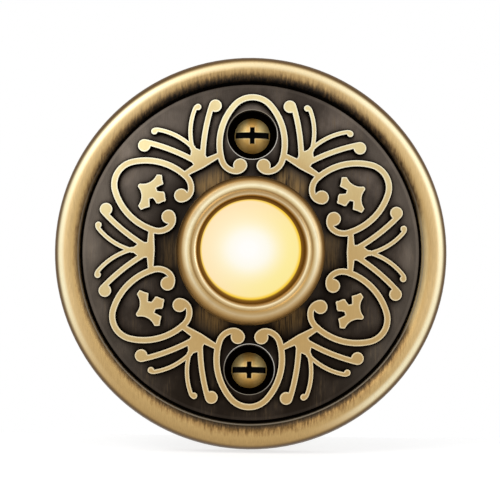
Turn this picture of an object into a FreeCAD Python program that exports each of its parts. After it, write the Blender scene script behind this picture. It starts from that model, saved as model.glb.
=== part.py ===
import FreeCAD, Part
import Sketcher
import math
import os
from FreeCAD import Placement, Rotation, Vector

# Round lighted doorbell push button, die-cast cover on a moulded switch base.
# Every piece is drawn as it lies on the bench: X to the right, Y up the wall, Z out of the wall,
# with the origin on the push axis in the plane of the wall. The last step stands it upright,
# so that in the finished part +Z is up and the button looks along -Y.

doc = FreeCAD.newDocument("doorbell_push_button")
sheet = doc.addObject("Spreadsheet::Sheet", "Sizes")

# Driving dimensions in millimetres
SIZES = {
    # Cover casting
    "cover_dia": 63.5,
    "bead_width": 4.1,
    "bead_lift": 1.25,
    "rim_wall": 2.9,
    "foot_chamfer": 0.3,
    "groove_width": 0.4,
    "groove_depth": 0.3,
    "dome_radius": 150.0,
    "field_wall": 1.8,
    "hub_wall": 1.5,
    "hub_seat_margin": 0.1,
    "rim_slope": 2.4,
    # Fixing screws and their counterbores
    "counterbore_gap": 1.145,
    "counterbore_wall": 1.4,
    "boss_setback": 0.3,
    "head_sink": 1.4,
    "screw_hole_gap": 0.25,
    "screw_shank_dia": 2.84,
    "screw_thread_dia": 2.76,
    "screw_head_dia": 5.77,
    "screw_head_height": 1.9,
    "screw_head_edge": 0.35,
    "screw_slot_width": 0.9,
    "screw_slot_depth": 0.95,
    "screw_cross_length": 2.7,
    "screw_cross_width": 0.72,
    "screw_cross_depth": 1.3,
    "screw_reach": 15.5,
    "screw_point": 3.2,
    # Scroll relief
    "relief_height": 0.7,
    "relief_root": 0.6,
    "arch_width": 0.99,
    "arch_ball_dia": 2.26,
    "thick_finger_width": 0.88,
    "thick_ball_dia": 2.04,
    "thin_finger_width": 0.66,
    "thin_ball_dia": 1.04,
    "bridge_width": 0.8,
    # Button and its guide
    "lens_dia": 16.26,
    "lens_dome_height": 1.85,
    "lens_edge": 0.35,
    "lens_skirt": 1.5,
    "lens_wall": 1.25,
    "lens_flange": 1.07,
    "lens_flange_thickness": 0.8,
    "lens_socket_gap": 0.07,
    "spigot_height": 0.8,
    "spigot_wall": 1.0,
    "stop_gap": 0.1,
    "travel": 1.5,
    "flange_side_gap": 0.2,
    "slide_gap": 0.1,
    "plunger_length": 2.6,
    "plunger_web": 0.8,
    # Bezel
    "bezel_bore_gap": 0.52,
    "bezel_tail_wall": 1.1,
    "bezel_tail_gap": 0.05,
    "bezel_foot_width": 1.4,
    "bezel_crown_radius": 1.45,
    "bezel_crown_lift": 0.65,
    "bezel_lip_width": 1.13,
    "bezel_lip_radius": 0.65,
    "bezel_valley_radius": 0.3,
    "bezel_mouth_depth": 1.45,
    "tail_contact_gap": 0.15,
    # Ring nut and washer behind the cover
    "nut_width": 2.6,
    "nut_boss_gap": 0.42,
    "nut_thickness": 1.2,
    "nut_notch_width": 2.2,
    "nut_notch_depth": 0.9,
    "nut_notches": 6,
    "nut_base_gap": 0.3,
    "bezel_washer_thickness": 0.4,
    "bezel_washer_inset": 0.15,
    # Contacts
    "contact_ring_inset": 0.25,
    "contact_ring_width": 1.25,
    "contact_ring_thickness": 0.5,
    "contact_ring_gap": 0.05,
    "contact_height": 0.35,
    "contact_gap": 0.05,
    "contact_dia": 1.25,
    "ring_spigot_wall": 0.4,
    # Return spring
    "spring_wire_dia": 0.45,
    "spring_side_gap": 0.27,
    "spring_turns": 4.0,
    # Switch base
    "base_inset": 0.2,
    "base_thickness": 1.4,
    "arm_width": 8.0,
    "nut_ear_gap": 1.2,
    "ear_dia": 5.2,
    "ear_neck": 4.2,
    "board_recess": 0.4,
    "hole_gap": 0.05,
    # Terminals
    "nut_terminal_gap": 1.8,
    "terminal_setback": 0.35,
    "terminal_head_height": 1.25,
    "terminal_head_dia": 4.6,
    "terminal_shank_dia": 2.4,
    "terminal_slot_width": 0.7,
    "terminal_slot_depth": 0.6,
    "terminal_washer_dia": 5.4,
    "terminal_washer_thickness": 0.4,
    "terminal_nut_width": 4.0,
    "terminal_nut_thickness": 1.2,
    "terminal_nut_pocket": 0.6,
    "terminal_tip": 0.1,
    "strip_thickness": 0.6,
    "strip_width": 3.4,
    "strip_pad_dia": 6.4,
    # Rivets
    "rivet_shank_dia": 1.0,
    "rivet_head_dia": 1.7,
    "rivet_head_height": 0.3,
    # Screws through the base into the cover
    "base_screw_dia": 1.94,
    "base_screw_head_dia": 3.8,
    "base_screw_head_height": 1.2,
    "base_screw_depth": 2.1,
    "base_boss_dia": 4.6,
    "base_screw_slot": 0.6,
    # Lamp
    "board_spring_gap": 0.4,
    "board_thickness": 0.8,
    "board_rivet_edge": 1.43,
    "led_dia": 3.0,
    "led_collar_dia": 3.8,
    "led_collar_height": 1.0,
    "led_height": 5.3,
    "led_pin_dia": 0.5,
    "led_pin_spacing": 2.54,
    "part_edge": 2.23,
    "part_body_dia": 1.6,
    "part_body_length": 3.3,
    "part_lead_dia": 0.44,
    "part_lead_span": 5.0,
}
for line, (alias, value) in enumerate(SIZES.items(), start=1):
    sheet.set(f"A{line}", alias)
    sheet.set(f"B{line}", str(value))
    sheet.setAlias(f"B{line}", alias)
doc.recompute()


def read(expression):
    """The number that an expression on the size sheet stands for."""
    return float(sheet.evalExpression(str(expression)))


def size(alias):
    """One driving dimension."""
    return read(f"Sizes.{alias}")


# Levels above the wall, stacked outwards from the terminal screws' heads
WASHER_LEVEL = "(Sizes.terminal_setback + Sizes.terminal_head_height)"
STRIP_LEVEL = f"({WASHER_LEVEL} + Sizes.terminal_washer_thickness)"
BASE_LEVEL = f"({STRIP_LEVEL} + Sizes.strip_thickness)"
BASE_TOP = f"({BASE_LEVEL} + Sizes.base_thickness)"
BOARD_LEVEL = f"({BASE_TOP} - Sizes.board_recess)"
BOARD_TOP = f"({BOARD_LEVEL} + Sizes.board_thickness)"
CONTACT_TOP = f"({BASE_TOP} + Sizes.contact_height)"
RING_LEVEL = f"({CONTACT_TOP} + Sizes.contact_gap + Sizes.travel)"
PLUNGER_LEVEL = f"({RING_LEVEL} + Sizes.contact_ring_thickness)"
LENS_SEAT = f"({PLUNGER_LEVEL} + Sizes.plunger_length)"
WEB_LEVEL = f"({LENS_SEAT} - Sizes.plunger_web)"
FLANGE_TOP = f"({LENS_SEAT} + Sizes.lens_flange_thickness)"
SHOULDER = f"({FLANGE_TOP} + Sizes.stop_gap)"
MOUTH = f"({SHOULDER} + Sizes.bezel_mouth_depth)"
NUT_LEVEL = f"({BASE_TOP} + Sizes.nut_base_gap)"
BEZEL_WASHER_LEVEL = f"({NUT_LEVEL} + Sizes.nut_thickness)"
HUB_BACK = f"({BEZEL_WASHER_LEVEL} + Sizes.bezel_washer_thickness)"
HUB_FRONT = f"({HUB_BACK} + Sizes.hub_wall)"

# Radii, stacked outwards from the lens
LENS_RADIUS = "(Sizes.lens_dia / 2)"
BORE_RADIUS = f"({LENS_RADIUS} + Sizes.bezel_bore_gap)"
FLANGE_RADIUS = f"({LENS_RADIUS} + Sizes.lens_flange)"
PLUNGER_RADIUS = f"({FLANGE_RADIUS} + Sizes.flange_side_gap)"
TAIL_BORE = f"({PLUNGER_RADIUS} + Sizes.slide_gap)"
TAIL_RADIUS = f"({TAIL_BORE} + Sizes.bezel_tail_wall)"
HUB_BORE = f"({TAIL_RADIUS} + Sizes.bezel_tail_gap)"
BEZEL_RADIUS = f"({TAIL_RADIUS} + Sizes.bezel_foot_width)"
HUB_RADIUS = f"({BEZEL_RADIUS} + Sizes.hub_seat_margin)"
NUT_RADIUS = f"({TAIL_RADIUS} + Sizes.nut_width)"
RING_OUTER = f"({PLUNGER_RADIUS} - Sizes.contact_ring_inset)"
RING_INNER = f"({RING_OUTER} - Sizes.contact_ring_width)"
CONTACT_PITCH = f"({RING_OUTER} - Sizes.contact_ring_width / 2)"
RING_SPIGOT = f"({RING_INNER} - Sizes.contact_ring_gap)"
PLUNGER_BORE = f"({RING_SPIGOT} - Sizes.ring_spigot_wall)"
SPRING_OUTER = f"({PLUNGER_BORE} - Sizes.spring_side_gap)"
SPRING_MEAN = f"({SPRING_OUTER} - Sizes.spring_wire_dia / 2)"
SPRING_INNER = f"({SPRING_OUTER} - Sizes.spring_wire_dia)"
BOARD_RADIUS = f"({SPRING_INNER} - Sizes.board_spring_gap)"
BOARD_RIVET_AT = f"({BOARD_RADIUS} - Sizes.board_rivet_edge)"
PART_AT = f"({BOARD_RADIUS} - Sizes.part_edge)"
SOCKET_RADIUS = f"({LENS_RADIUS} - Sizes.lens_wall)"
SPIGOT_RADIUS = f"({SOCKET_RADIUS} - Sizes.lens_socket_gap)"

# What stands around the ring nut; the fixing screws come to 38.1 apart
COUNTERBORE_RADIUS = "(Sizes.screw_head_dia / 2 + Sizes.counterbore_gap)"
BOSS_RADIUS = f"({COUNTERBORE_RADIUS} + Sizes.counterbore_wall)"
SCREW_PITCH = f"({NUT_RADIUS} + Sizes.nut_boss_gap + {BOSS_RADIUS})"
BASE_RADIUS = f"({NUT_RADIUS} - Sizes.base_inset)"
TERMINAL_AT = f"({NUT_RADIUS} + Sizes.nut_terminal_gap + Sizes.terminal_nut_width / 2)"
EAR_AT = f"({NUT_RADIUS} + Sizes.nut_ear_gap + Sizes.base_boss_dia / 2)"
EAR_SIDE = f"({EAR_AT} / sqrt(2))"

# The cover's rim and the spherical field inside it
COVER_RADIUS = "(Sizes.cover_dia / 2)"
BEAD_RADIUS = "(Sizes.bead_width / 2)"
GROOVE_RADIUS = f"({COVER_RADIUS} - Sizes.bead_width)"
FIELD_RADIUS = f"({GROOVE_RADIUS} - Sizes.groove_width)"


def field_level(radius, offset="0"):
    """Level of the domed field at a radius, or of a sphere parallel to it."""
    ball = f"(Sizes.dome_radius + {offset})"
    drop = f"(sqrt(Sizes.dome_radius ^ 2 - {HUB_RADIUS} ^ 2))"
    return f"({HUB_FRONT} - {drop} + sqrt({ball} ^ 2 - {radius} ^ 2))"


GROOVE_LEVEL = f"({field_level(FIELD_RADIUS)} - Sizes.groove_depth)"
BEAD_LEVEL = f"({field_level(FIELD_RADIUS)} + Sizes.bead_lift - {BEAD_RADIUS})"
HEAD_TOP = f"({field_level(SCREW_PITCH)} - Sizes.head_sink)"
HEAD_SEAT = f"({HEAD_TOP} - Sizes.screw_head_height)"
BOSS_TOP = f"({field_level(f'({SCREW_PITCH} + {BOSS_RADIUS})')} - Sizes.groove_depth)"


def bind(thing, **values):
    """Ties properties of an object to expressions on the size sheet."""
    for name, expression in values.items():
        thing.setExpression(name.replace("__", "."), str(expression))
    return thing


def new_sketch(body, name, plane="XY_Plane", level=None):
    """A sketch on one of its own body's planes, lifted to a level."""
    sketch = body.newObject("Sketcher::SketchObject", name)
    support = [feature for feature in body.Origin.OriginFeatures if feature.Role == plane]
    sketch.AttachmentSupport = (support[0], "")
    sketch.MapMode = "FlatFace"
    if level is not None:
        bind(sketch, AttachmentOffset__Base__z=level)
    return sketch


def arc_between(here, there, side, radius):
    """The shorter arc from one point to the next, and which of its ends each point is."""
    chord = there - here
    normal = Vector(-chord.y, chord.x, 0).normalize()
    reach = math.sqrt(max(radius**2 - (chord.Length / 2) ** 2, 0.0))
    centre = here + chord * 0.5 + normal * (reach if side == "left" else -reach)
    start, stop = (here, there) if side == "left" else (there, here)
    first = math.atan2(start.y - centre.y, start.x - centre.x)
    last = math.atan2(stop.y - centre.y, stop.x - centre.x)
    if last < first:
        last += 2 * math.pi
    circle = Part.Circle(centre, Vector(0, 0, 1), radius)
    return Part.ArcOfCircle(circle, first, last), (1, 2) if side == "left" else (2, 1)


def outline(sketch, corners):
    """A closed outline through corners whose x and y are expressions.

    A corner may add the side on which the next edge's centre lies, and that edge's radius:
    the edge is then an arc.
    """
    points = [Vector(read(corner[0]), read(corner[1]), 0) for corner in corners]
    first = sketch.GeometryCount
    ends = []
    for index, corner in enumerate(corners):
        here = points[index]
        there = points[(index + 1) % len(points)]
        if len(corner) == 2:
            sketch.addGeometry(Part.LineSegment(here, there), False)
            ends.append((1, 2))
        else:
            arc, order = arc_between(here, there, corner[2], read(corner[3]))
            sketch.addGeometry(arc, False)
            ends.append(order)
    for index, corner in enumerate(corners):
        after = (index + 1) % len(corners)
        edge = first + index
        sketch.addConstraint(
            Sketcher.Constraint("Coincident", edge, ends[index][1], first + after, ends[after][0])
        )
        place(sketch, edge, ends[index][0], corner[0], corner[1])
        if len(corner) == 4:
            dimension(sketch, Sketcher.Constraint("Radius", edge, read(corner[3])), corner[3])


def dimension(sketch, constraint, expression):
    """Adds a dimension to a sketch and ties it to the size sheet."""
    number = sketch.addConstraint(constraint)
    sketch.setExpression(f"Constraints[{number}]", str(expression))


def place(sketch, edge, point, across, up):
    """Dimensions a point of a sketch from the sketch's origin."""
    for kind, expression in (("DistanceX", across), ("DistanceY", up)):
        dimension(sketch, Sketcher.Constraint(kind, -1, 1, edge, point, read(expression)), expression)


def circle_in(sketch, across, up, radius):
    """A dimensioned circle."""
    centre = Vector(read(across), read(up), 0)
    edge = sketch.addGeometry(Part.Circle(centre, Vector(0, 0, 1), read(radius)), False)
    place(sketch, edge, 3, across, up)
    dimension(sketch, Sketcher.Constraint("Radius", edge, read(radius)), radius)


def turned(name, corners):
    """A body turned about the push axis from an outline of radius and level."""
    body = doc.addObject("PartDesign::Body", name)
    sketch = new_sketch(body, f"{name}_profile", "XZ_Plane")
    outline(sketch, corners)
    revolution = body.newObject("PartDesign::Revolution", f"{name}_turning")
    revolution.Profile = sketch
    revolution.ReferenceAxis = (sketch, ["V_Axis"])
    revolution.Angle = 360
    sketch.Visibility = False
    return body


def padded(name, draw, level, thickness):
    """A body of constant thickness, whose outline the function draw puts into a sketch."""
    body = doc.addObject("PartDesign::Body", name)
    sketch = new_sketch(body, f"{name}_outline", "XY_Plane", level)
    draw(sketch)
    pad = body.newObject("PartDesign::Pad", f"{name}_pad")
    pad.Profile = sketch
    bind(pad, Length=thickness)
    sketch.Visibility = False
    return body


def pocketed(body, name, draw, level, depth):
    """Cuts an outline out of a body, from a level upwards by a depth."""
    doc.recompute()
    before = body.Shape.Volume
    sketch = new_sketch(body, f"{name}_outline", "XY_Plane", level)
    draw(sketch)
    pocket = body.newObject("PartDesign::Pocket", name)
    pocket.Profile = sketch
    pocket.Reversed = True
    bind(pocket, Length=depth)
    sketch.Visibility = False
    doc.recompute()
    if not body.Shape.Volume < before:
        raise RuntimeError(f"{name} removes nothing")
    return pocket


def drilled(body, name, places, radius, level, depth):
    """Drills one hole at each place of a body."""

    def holes(sketch):
        for across, up in places:
            circle_in(sketch, across, up, radius)

    return pocketed(body, name, holes, level, depth)


def filleted(body, name, radius, level, fillet_radius):
    """Rounds the turned edge that has a radius and a level."""
    doc.recompute()
    sharp = body.Tip
    near = Part.Vertex(0, read(radius), read(level))
    away = [edge.distToShape(near)[0] for edge in sharp.Shape.Edges]
    fillet = body.newObject("PartDesign::Fillet", name)
    fillet.Base = (sharp, [f"Edge{away.index(min(away)) + 1}"])
    bind(fillet, Radius=fillet_radius)
    return body


def cylinder(name, radius, level, height, across="0", up="0"):
    """An upright cylinder on the bench."""
    made = doc.addObject("Part::Cylinder", name)
    return bind(
        made,
        Radius=radius,
        Height=height,
        Placement__Base__x=across,
        Placement__Base__y=up,
        Placement__Base__z=level,
    )


def block(name, width, depth, height, level):
    """A box centred on the push axis."""
    made = doc.addObject("Part::Box", name)
    return bind(
        made,
        Length=width,
        Width=depth,
        Height=height,
        Placement__Base__x=f"-({width}) / 2",
        Placement__Base__y=f"-({depth}) / 2",
        Placement__Base__z=level,
    )


def joined(name, *pieces):
    """One solid from pieces that run into each other."""
    fuse = doc.addObject("Part::MultiFuse", name)
    fuse.Shapes = list(pieces)
    fuse.Refine = True
    return fuse


def cut(name, base, *tools):
    """A solid less one or more tools."""
    tool = tools[0] if len(tools) == 1 else joined(f"{name}_tools", *tools)
    made = doc.addObject("Part::Cut", name)
    made.Base = base
    made.Tool = tool
    return made


def mirrored(name, source, normal):
    """A second copy of a piece across a plane through the push axis."""
    made = doc.addObject("Part::Mirroring", name)
    made.Source = source
    made.Base = Vector(0, 0, 0)
    made.Normal = normal
    return made


def pair(name, piece, normal):
    """A piece and its mirror image as one group of two separate solids."""
    twin = mirrored(f"{name}_twin", piece, normal)
    group = doc.addObject("Part::Compound", name)
    group.Links = [piece, twin]
    return group


# Scroll relief
# Each stroke is a ribbon along a chain of tangent arcs, (radius, turn to the right in degrees).
# Heights are measured from the circle through the fixing screws, along the figure's own axis.
LEAF_ARCH = {"apex": 6.07, "arcs": [(3.74, 47), (9.65, 56), (2.62, 57), (1.68, 75)]}
SCREW_ARCH = {"apex": 6.09, "arcs": [(3.87, 49), (9.64, 58), (2.46, 70), (1.46, 57)]}
THICK_FINGER = {"start": (0.75, -1.82), "heading": 59.0, "arcs": [(30.5, 16.3)]}
THIN_FINGER = {"start": (-0.17, -0.36), "heading": 78.6, "arcs": [(10.4, 39.3), (1.0, 38.0)]}
SPRAY_HUB = [
    (0.0, 0.45),
    (0.44, 0.4),
    (0.46, -0.1),
    (0.83, -0.6),
    (1.3, -0.9),
    (1.24, -2.29),
    (0.0, -2.29),
]
HUB_FOOT = (0.0, -3.52)
BRIDGE_RISE = 0.5

# Right half of the leaf inside each of the four plain arches, from its outer to its inner tip
LEAF_HALF = [
    (0.33, 1.95),
    (1.08, 0.9),
    (2.5, 0.39),
    (2.95, 0.38),
    (3.18, -0.05),
    (3.3, -0.35),
    (2.69, -0.8),
    (2.15, -1.33),
    (1.76, -1.05),
    (1.05, -0.6),
    (0.67, -1.05),
    (0.87, -1.55),
    (1.12, -2.0),
    (0.96, -2.3),
    (0.28, -2.8),
]
LEAF_TIPS = (2.12, -3.02)


def along(start, heading, arcs, shift):
    """Edges parallel to a chain of right-hand arcs, a shift to its left, and where they end."""
    point = Vector(*start, 0)
    angle = math.radians(heading)
    edges = []
    for radius, turn in arcs:
        centre = point + Vector(math.sin(angle), -math.cos(angle), 0) * radius
        stations = []
        for share in (0.0, 0.5, 1.0):
            now = angle - math.radians(turn) * share
            stations.append(centre + Vector(-math.sin(now), math.cos(now), 0) * (radius + shift))
        edges.append(Part.Arc(*stations).toShape())
        angle -= math.radians(turn)
        point = centre + Vector(-math.sin(angle), math.cos(angle), 0) * radius
    return edges, point, angle


def stroke(start, heading, arcs, width, ball_radius):
    """A ribbon that ends in a ball, flush with the ribbon's outer edge."""
    outer, end, angle = along(start, heading, arcs, width / 2)
    inner = along(start, heading, arcs, -width / 2)[0]
    foot = Part.LineSegment(inner[0].Vertexes[0].Point, outer[0].Vertexes[0].Point).toShape()
    tip = Part.LineSegment(inner[-1].Vertexes[-1].Point, outer[-1].Vertexes[-1].Point).toShape()
    ribbon = Part.Face(Part.Wire(Part.__sortEdges__(outer + inner + [foot, tip])))
    inwards = Vector(math.sin(angle), -math.cos(angle), 0)
    centre = end + inwards * (ball_radius - width / 2)
    ball = Part.Face(Part.Wire(Part.Circle(centre, Vector(0, 0, 1), ball_radius).toShape()))
    return [ribbon, ball]


def both_sides(solids):
    """Solids and their mirror images across the figure's axis."""
    return solids + [solid.mirror(Vector(0, 0, 0), Vector(1, 0, 0)) for solid in solids]


def turned_to(solids, angle):
    """Copies of solids, turned about the push axis from the top of the cover."""
    spun = [solid.copy() for solid in solids]
    for solid in spun:
        solid.rotate(Vector(0, 0, 0), Vector(0, 0, 1), angle)
    return spun


def prisms(faces, height):
    """Flat faces drawn up into prisms."""
    return [face.extrude(Vector(0, 0, height)) for face in faces]


def arch(drawing, pitch, height):
    """One arch: two mirrored strokes that meet at the top and curl in at the bottom."""
    start = (0, pitch + drawing["apex"])
    ball = size("arch_ball_dia") / 2
    faces = stroke(start, 0, drawing["arcs"], size("arch_width"), ball)
    return both_sides(prisms(faces, height))


def arch_leg(pitch):
    """Where a bridge meets its arch, seen from the spray beside it: the foot of the arch's long side."""
    foot = along((0, pitch + LEAF_ARCH["apex"]), 0, LEAF_ARCH["arcs"][:2], 0)[1]
    foot = Rotation(Vector(0, 0, 1), 30).multVec(foot + Vector(0, BRIDGE_RISE, 0))
    return Vector(abs(foot.x), foot.y, 0)


def spray(pitch, height):
    """Four fingers on one hub, with a bridge to the arch on each side."""
    faces = []
    for finger, name in ((THICK_FINGER, "thick"), (THIN_FINGER, "thin")):
        x, y = finger["start"]
        width = size(f"{name}_finger_width")
        ball = size(f"{name}_ball_dia") / 2
        faces += stroke((x, pitch + y), finger["heading"], finger["arcs"], width, ball)
    hub = [Vector(x, pitch + y, 0) for x, y in SPRAY_HUB]
    foot = Vector(HUB_FOOT[0], pitch + HUB_FOOT[1], 0)
    leg = arch_leg(pitch)
    edge = Vector(0, size("bridge_width") / 2, 0)
    bridge = [foot, leg - edge, leg + edge, hub[-2], hub[-1]]
    faces.append(Part.Face(Part.makePolygon(hub + hub[:1])))
    faces.append(Part.Face(Part.makePolygon(bridge + bridge[:1])))
    return both_sides(prisms(faces, height))


def leaf(pitch, height):
    """The small leaf that stands inside an arch."""
    half = [Vector(x, pitch + y, 0) for x, y in LEAF_HALF]
    outer, inner = [Vector(0, pitch + y, 0) for y in LEAF_TIPS]
    edges = [Part.Arc(half[0], half[1], half[2]).toShape()]
    edges += [Part.LineSegment(a, b).toShape() for a, b in zip(half[2:-1], half[3:])]
    edges += [edge.mirror(Vector(0, 0, 0), Vector(1, 0, 0)) for edge in edges]
    for tip, corner in ((outer, half[0]), (inner, half[-1])):
        edges.append(Part.Arc(corner, tip, Vector(-corner.x, corner.y, 0)).toShape())
    return prisms([Part.Face(Part.Wire(Part.__sortEdges__(edges)))], height)


def scrolls(height):
    """The whole scroll pattern as upright prisms around the push axis."""
    pitch = read(SCREW_PITCH)
    solids = []
    for side in (0, 180):
        solids += turned_to(arch(SCREW_ARCH, pitch, height), side)
    for side in (60, 120, 240, 300):
        solids += turned_to(arch(LEAF_ARCH, pitch, height) + leaf(pitch, height), side)
    for side in (30, 90, 150, 210, 270, 330):
        solids += turned_to(spray(pitch, height), side)
    return solids[0].multiFuse(solids[1:]).removeSplitter()


def relief():
    """The raised scrolls, cut from the prisms by a shell parallel to the field."""
    low = read(field_level(FIELD_RADIUS)) - size("relief_root") * 2
    high = read(HUB_FRONT) + size("relief_height") * 2
    upright = doc.addObject("Part::Feature", "scroll_prisms")
    upright.Shape = scrolls(high - low).translated(Vector(0, 0, low))
    inside = f"({HUB_RADIUS} + Sizes.hub_seat_margin)"
    outside = f"({FIELD_RADIUS} - Sizes.groove_width)"
    below, above = "(-Sizes.relief_root)", "Sizes.relief_height"
    shell = turned(
        "relief_shell",
        [
            (inside, field_level(inside, below)),
            (inside, field_level(inside, above), "right", f"(Sizes.dome_radius + {above})"),
            (outside, field_level(outside, above)),
            (outside, field_level(outside, below), "left", f"(Sizes.dome_radius + {below})"),
        ],
    )
    common = doc.addObject("Part::Common", "relief")
    common.Base = upright
    common.Tool = shell
    return common


def cover():
    """The die-cast cover: beaded rim, domed field with scrolls, screw bosses and hub."""
    inner_wall = f"({COVER_RADIUS} - Sizes.rim_wall)"
    field_back = f"({inner_wall} - Sizes.rim_slope)"
    below = "(-Sizes.field_wall)"
    shell = turned(
        "cover_shell",
        [
            (inner_wall, "0"),
            (f"({COVER_RADIUS} - Sizes.foot_chamfer)", "0"),
            (COVER_RADIUS, "Sizes.foot_chamfer"),
            (COVER_RADIUS, BEAD_LEVEL, "left", BEAD_RADIUS),
            (f"({COVER_RADIUS} - {BEAD_RADIUS})", f"({BEAD_LEVEL} + {BEAD_RADIUS})", "left", BEAD_RADIUS),
            (GROOVE_RADIUS, BEAD_LEVEL),
            (GROOVE_RADIUS, GROOVE_LEVEL),
            (FIELD_RADIUS, GROOVE_LEVEL),
            (FIELD_RADIUS, field_level(FIELD_RADIUS), "left", "Sizes.dome_radius"),
            (HUB_RADIUS, HUB_FRONT),
            (HUB_BORE, HUB_FRONT),
            (HUB_BORE, HUB_BACK),
            (f"({NUT_RADIUS} + Sizes.hub_seat_margin)", HUB_BACK),
            (field_back, field_level(field_back, below)),
            (inner_wall, f"({field_level(field_back, below)} - Sizes.rim_slope / 2)"),
        ],
    )
    boss_top = f"({HUB_BACK})"
    solid = [shell, relief()]
    tools = []
    for side, sign in (("top", ""), ("bottom", "-")):
        up = f"{sign}{SCREW_PITCH}"
        height = f"({BOSS_TOP} - Sizes.boss_setback)"
        solid.append(cylinder(f"{side}_boss", BOSS_RADIUS, "Sizes.boss_setback", height, "0", up))
        tools.append(cylinder(f"{side}_counterbore", COUNTERBORE_RADIUS, HEAD_SEAT, HUB_FRONT, "0", up))
        hole = "(Sizes.screw_shank_dia / 2 + Sizes.screw_hole_gap)"
        tools.append(cylinder(f"{side}_screw_hole", hole, "0", HUB_FRONT, "0", up))
    for side, sign in (("right", ""), ("left", "-")):
        at = f"{sign}{EAR_SIDE}"
        rise = f"({boss_top} - {BASE_TOP})"
        solid.append(cylinder(f"{side}_ear_boss", "(Sizes.base_boss_dia / 2)", BASE_TOP, rise, at, at))
        bore = "(Sizes.base_screw_dia / 2 + Sizes.hole_gap)"
        depth = "(Sizes.base_screw_depth + Sizes.hole_gap)"
        tools.append(cylinder(f"{side}_ear_hole", bore, BASE_TOP, depth, at, at))
    return cut("cover", joined("cover_casting", *solid), *tools)


def bezel():
    """The turned ring around the button, with the threaded tail that guides the plunger."""
    crown = f"({BEZEL_RADIUS} - Sizes.bezel_crown_radius)"
    crown_level = f"({MOUTH} + Sizes.bezel_crown_lift - Sizes.bezel_crown_radius)"
    valley = f"({BORE_RADIUS} + Sizes.bezel_lip_width)"
    valley_level = f"({crown_level} + sqrt(Sizes.bezel_crown_radius ^ 2 - ({crown} - {valley}) ^ 2))"
    tail_end = f"({CONTACT_TOP} + Sizes.tail_contact_gap)"
    body = turned(
        "bezel",
        [
            (TAIL_BORE, tail_end),
            (TAIL_RADIUS, tail_end),
            (TAIL_RADIUS, HUB_FRONT),
            (BEZEL_RADIUS, HUB_FRONT),
            (BEZEL_RADIUS, crown_level, "left", "Sizes.bezel_crown_radius"),
            (valley, valley_level, "left", "Sizes.bezel_lip_radius"),
            (BORE_RADIUS, MOUTH),
            (BORE_RADIUS, SHOULDER),
            (TAIL_BORE, SHOULDER),
        ],
    )
    return filleted(body, "bezel_valley", valley, valley_level, "Sizes.bezel_valley_radius")


def bezel_washer():
    """The flat washer under the ring nut."""
    outside = f"({NUT_RADIUS} - Sizes.bezel_washer_inset)"
    return turned(
        "bezel_washer",
        [
            (HUB_BORE, BEZEL_WASHER_LEVEL),
            (outside, BEZEL_WASHER_LEVEL),
            (outside, HUB_BACK),
            (HUB_BORE, HUB_BACK),
        ],
    )


def bezel_nut():
    """The notched ring nut that clamps the bezel to the cover."""

    def ring(sketch):
        circle_in(sketch, "0", "0", NUT_RADIUS)
        circle_in(sketch, "0", "0", HUB_BORE)

    def notch(sketch):
        half = "(Sizes.nut_notch_width / 2)"
        inside = f"({NUT_RADIUS} - Sizes.nut_notch_depth)"
        outside = f"({NUT_RADIUS} + Sizes.nut_notch_depth)"
        outline(sketch, [(inside, f"-{half}"), (outside, f"-{half}"), (outside, half), (inside, half)])

    body = padded("bezel_nut", ring, NUT_LEVEL, "Sizes.nut_thickness")
    pocket = pocketed(body, "nut_notch", notch, NUT_LEVEL, "Sizes.nut_thickness")
    pattern = body.newObject("PartDesign::PolarPattern", "nut_notches")
    pattern.Originals = [pocket]
    pattern.Axis = (body.Origin.OriginFeatures[2], [""])
    pattern.Angle = 360
    bind(pattern, Occurrences="Sizes.nut_notches")
    body.Tip = pattern
    return body


def button_lens():
    """The translucent cap: a shallow dome on a short skirt, held by its flange."""
    skirt_top = f"({FLANGE_TOP} + Sizes.lens_skirt)"
    rim = f"({LENS_RADIUS} - Sizes.lens_edge)"
    rim_level = f"({skirt_top} + Sizes.lens_edge * 0.7)"
    dome = f"(({rim} ^ 2 + Sizes.lens_dome_height ^ 2) / (2 * Sizes.lens_dome_height))"
    top = f"({rim_level} + Sizes.lens_dome_height)"
    inner_dome = f"({dome} - Sizes.lens_wall)"
    inner_top = f"({top} - Sizes.lens_wall)"
    inner_edge = f"({inner_top} - {inner_dome} + sqrt({inner_dome} ^ 2 - {SOCKET_RADIUS} ^ 2))"
    return turned(
        "button_lens",
        [
            (SOCKET_RADIUS, LENS_SEAT),
            (FLANGE_RADIUS, LENS_SEAT),
            (FLANGE_RADIUS, FLANGE_TOP),
            (LENS_RADIUS, FLANGE_TOP),
            (LENS_RADIUS, skirt_top, "left", "(Sizes.lens_edge * 0.9)"),
            (rim, rim_level, "left", dome),
            ("0", top),
            ("0", inner_top, "right", inner_dome),
            (SOCKET_RADIUS, inner_edge),
        ],
    )


def button_plunger():
    """The moulded sleeve that carries the lens and slides in the bezel's tail."""
    spigot_bore = f"({SPIGOT_RADIUS} - Sizes.spigot_wall)"
    return turned(
        "button_plunger",
        [
            (PLUNGER_BORE, RING_LEVEL),
            (RING_SPIGOT, RING_LEVEL),
            (RING_SPIGOT, PLUNGER_LEVEL),
            (PLUNGER_RADIUS, PLUNGER_LEVEL),
            (PLUNGER_RADIUS, LENS_SEAT),
            (SPIGOT_RADIUS, LENS_SEAT),
            (SPIGOT_RADIUS, f"({LENS_SEAT} + Sizes.spigot_height)"),
            (spigot_bore, f"({LENS_SEAT} + Sizes.spigot_height)"),
            (spigot_bore, WEB_LEVEL),
            (PLUNGER_BORE, WEB_LEVEL),
        ],
    )


def contact_ring():
    """The brass ring under the plunger that bridges the two contacts."""
    return turned(
        "contact_ring",
        [
            (RING_INNER, RING_LEVEL),
            (RING_OUTER, RING_LEVEL),
            (RING_OUTER, PLUNGER_LEVEL),
            (RING_INNER, PLUNGER_LEVEL),
        ],
    )


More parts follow.
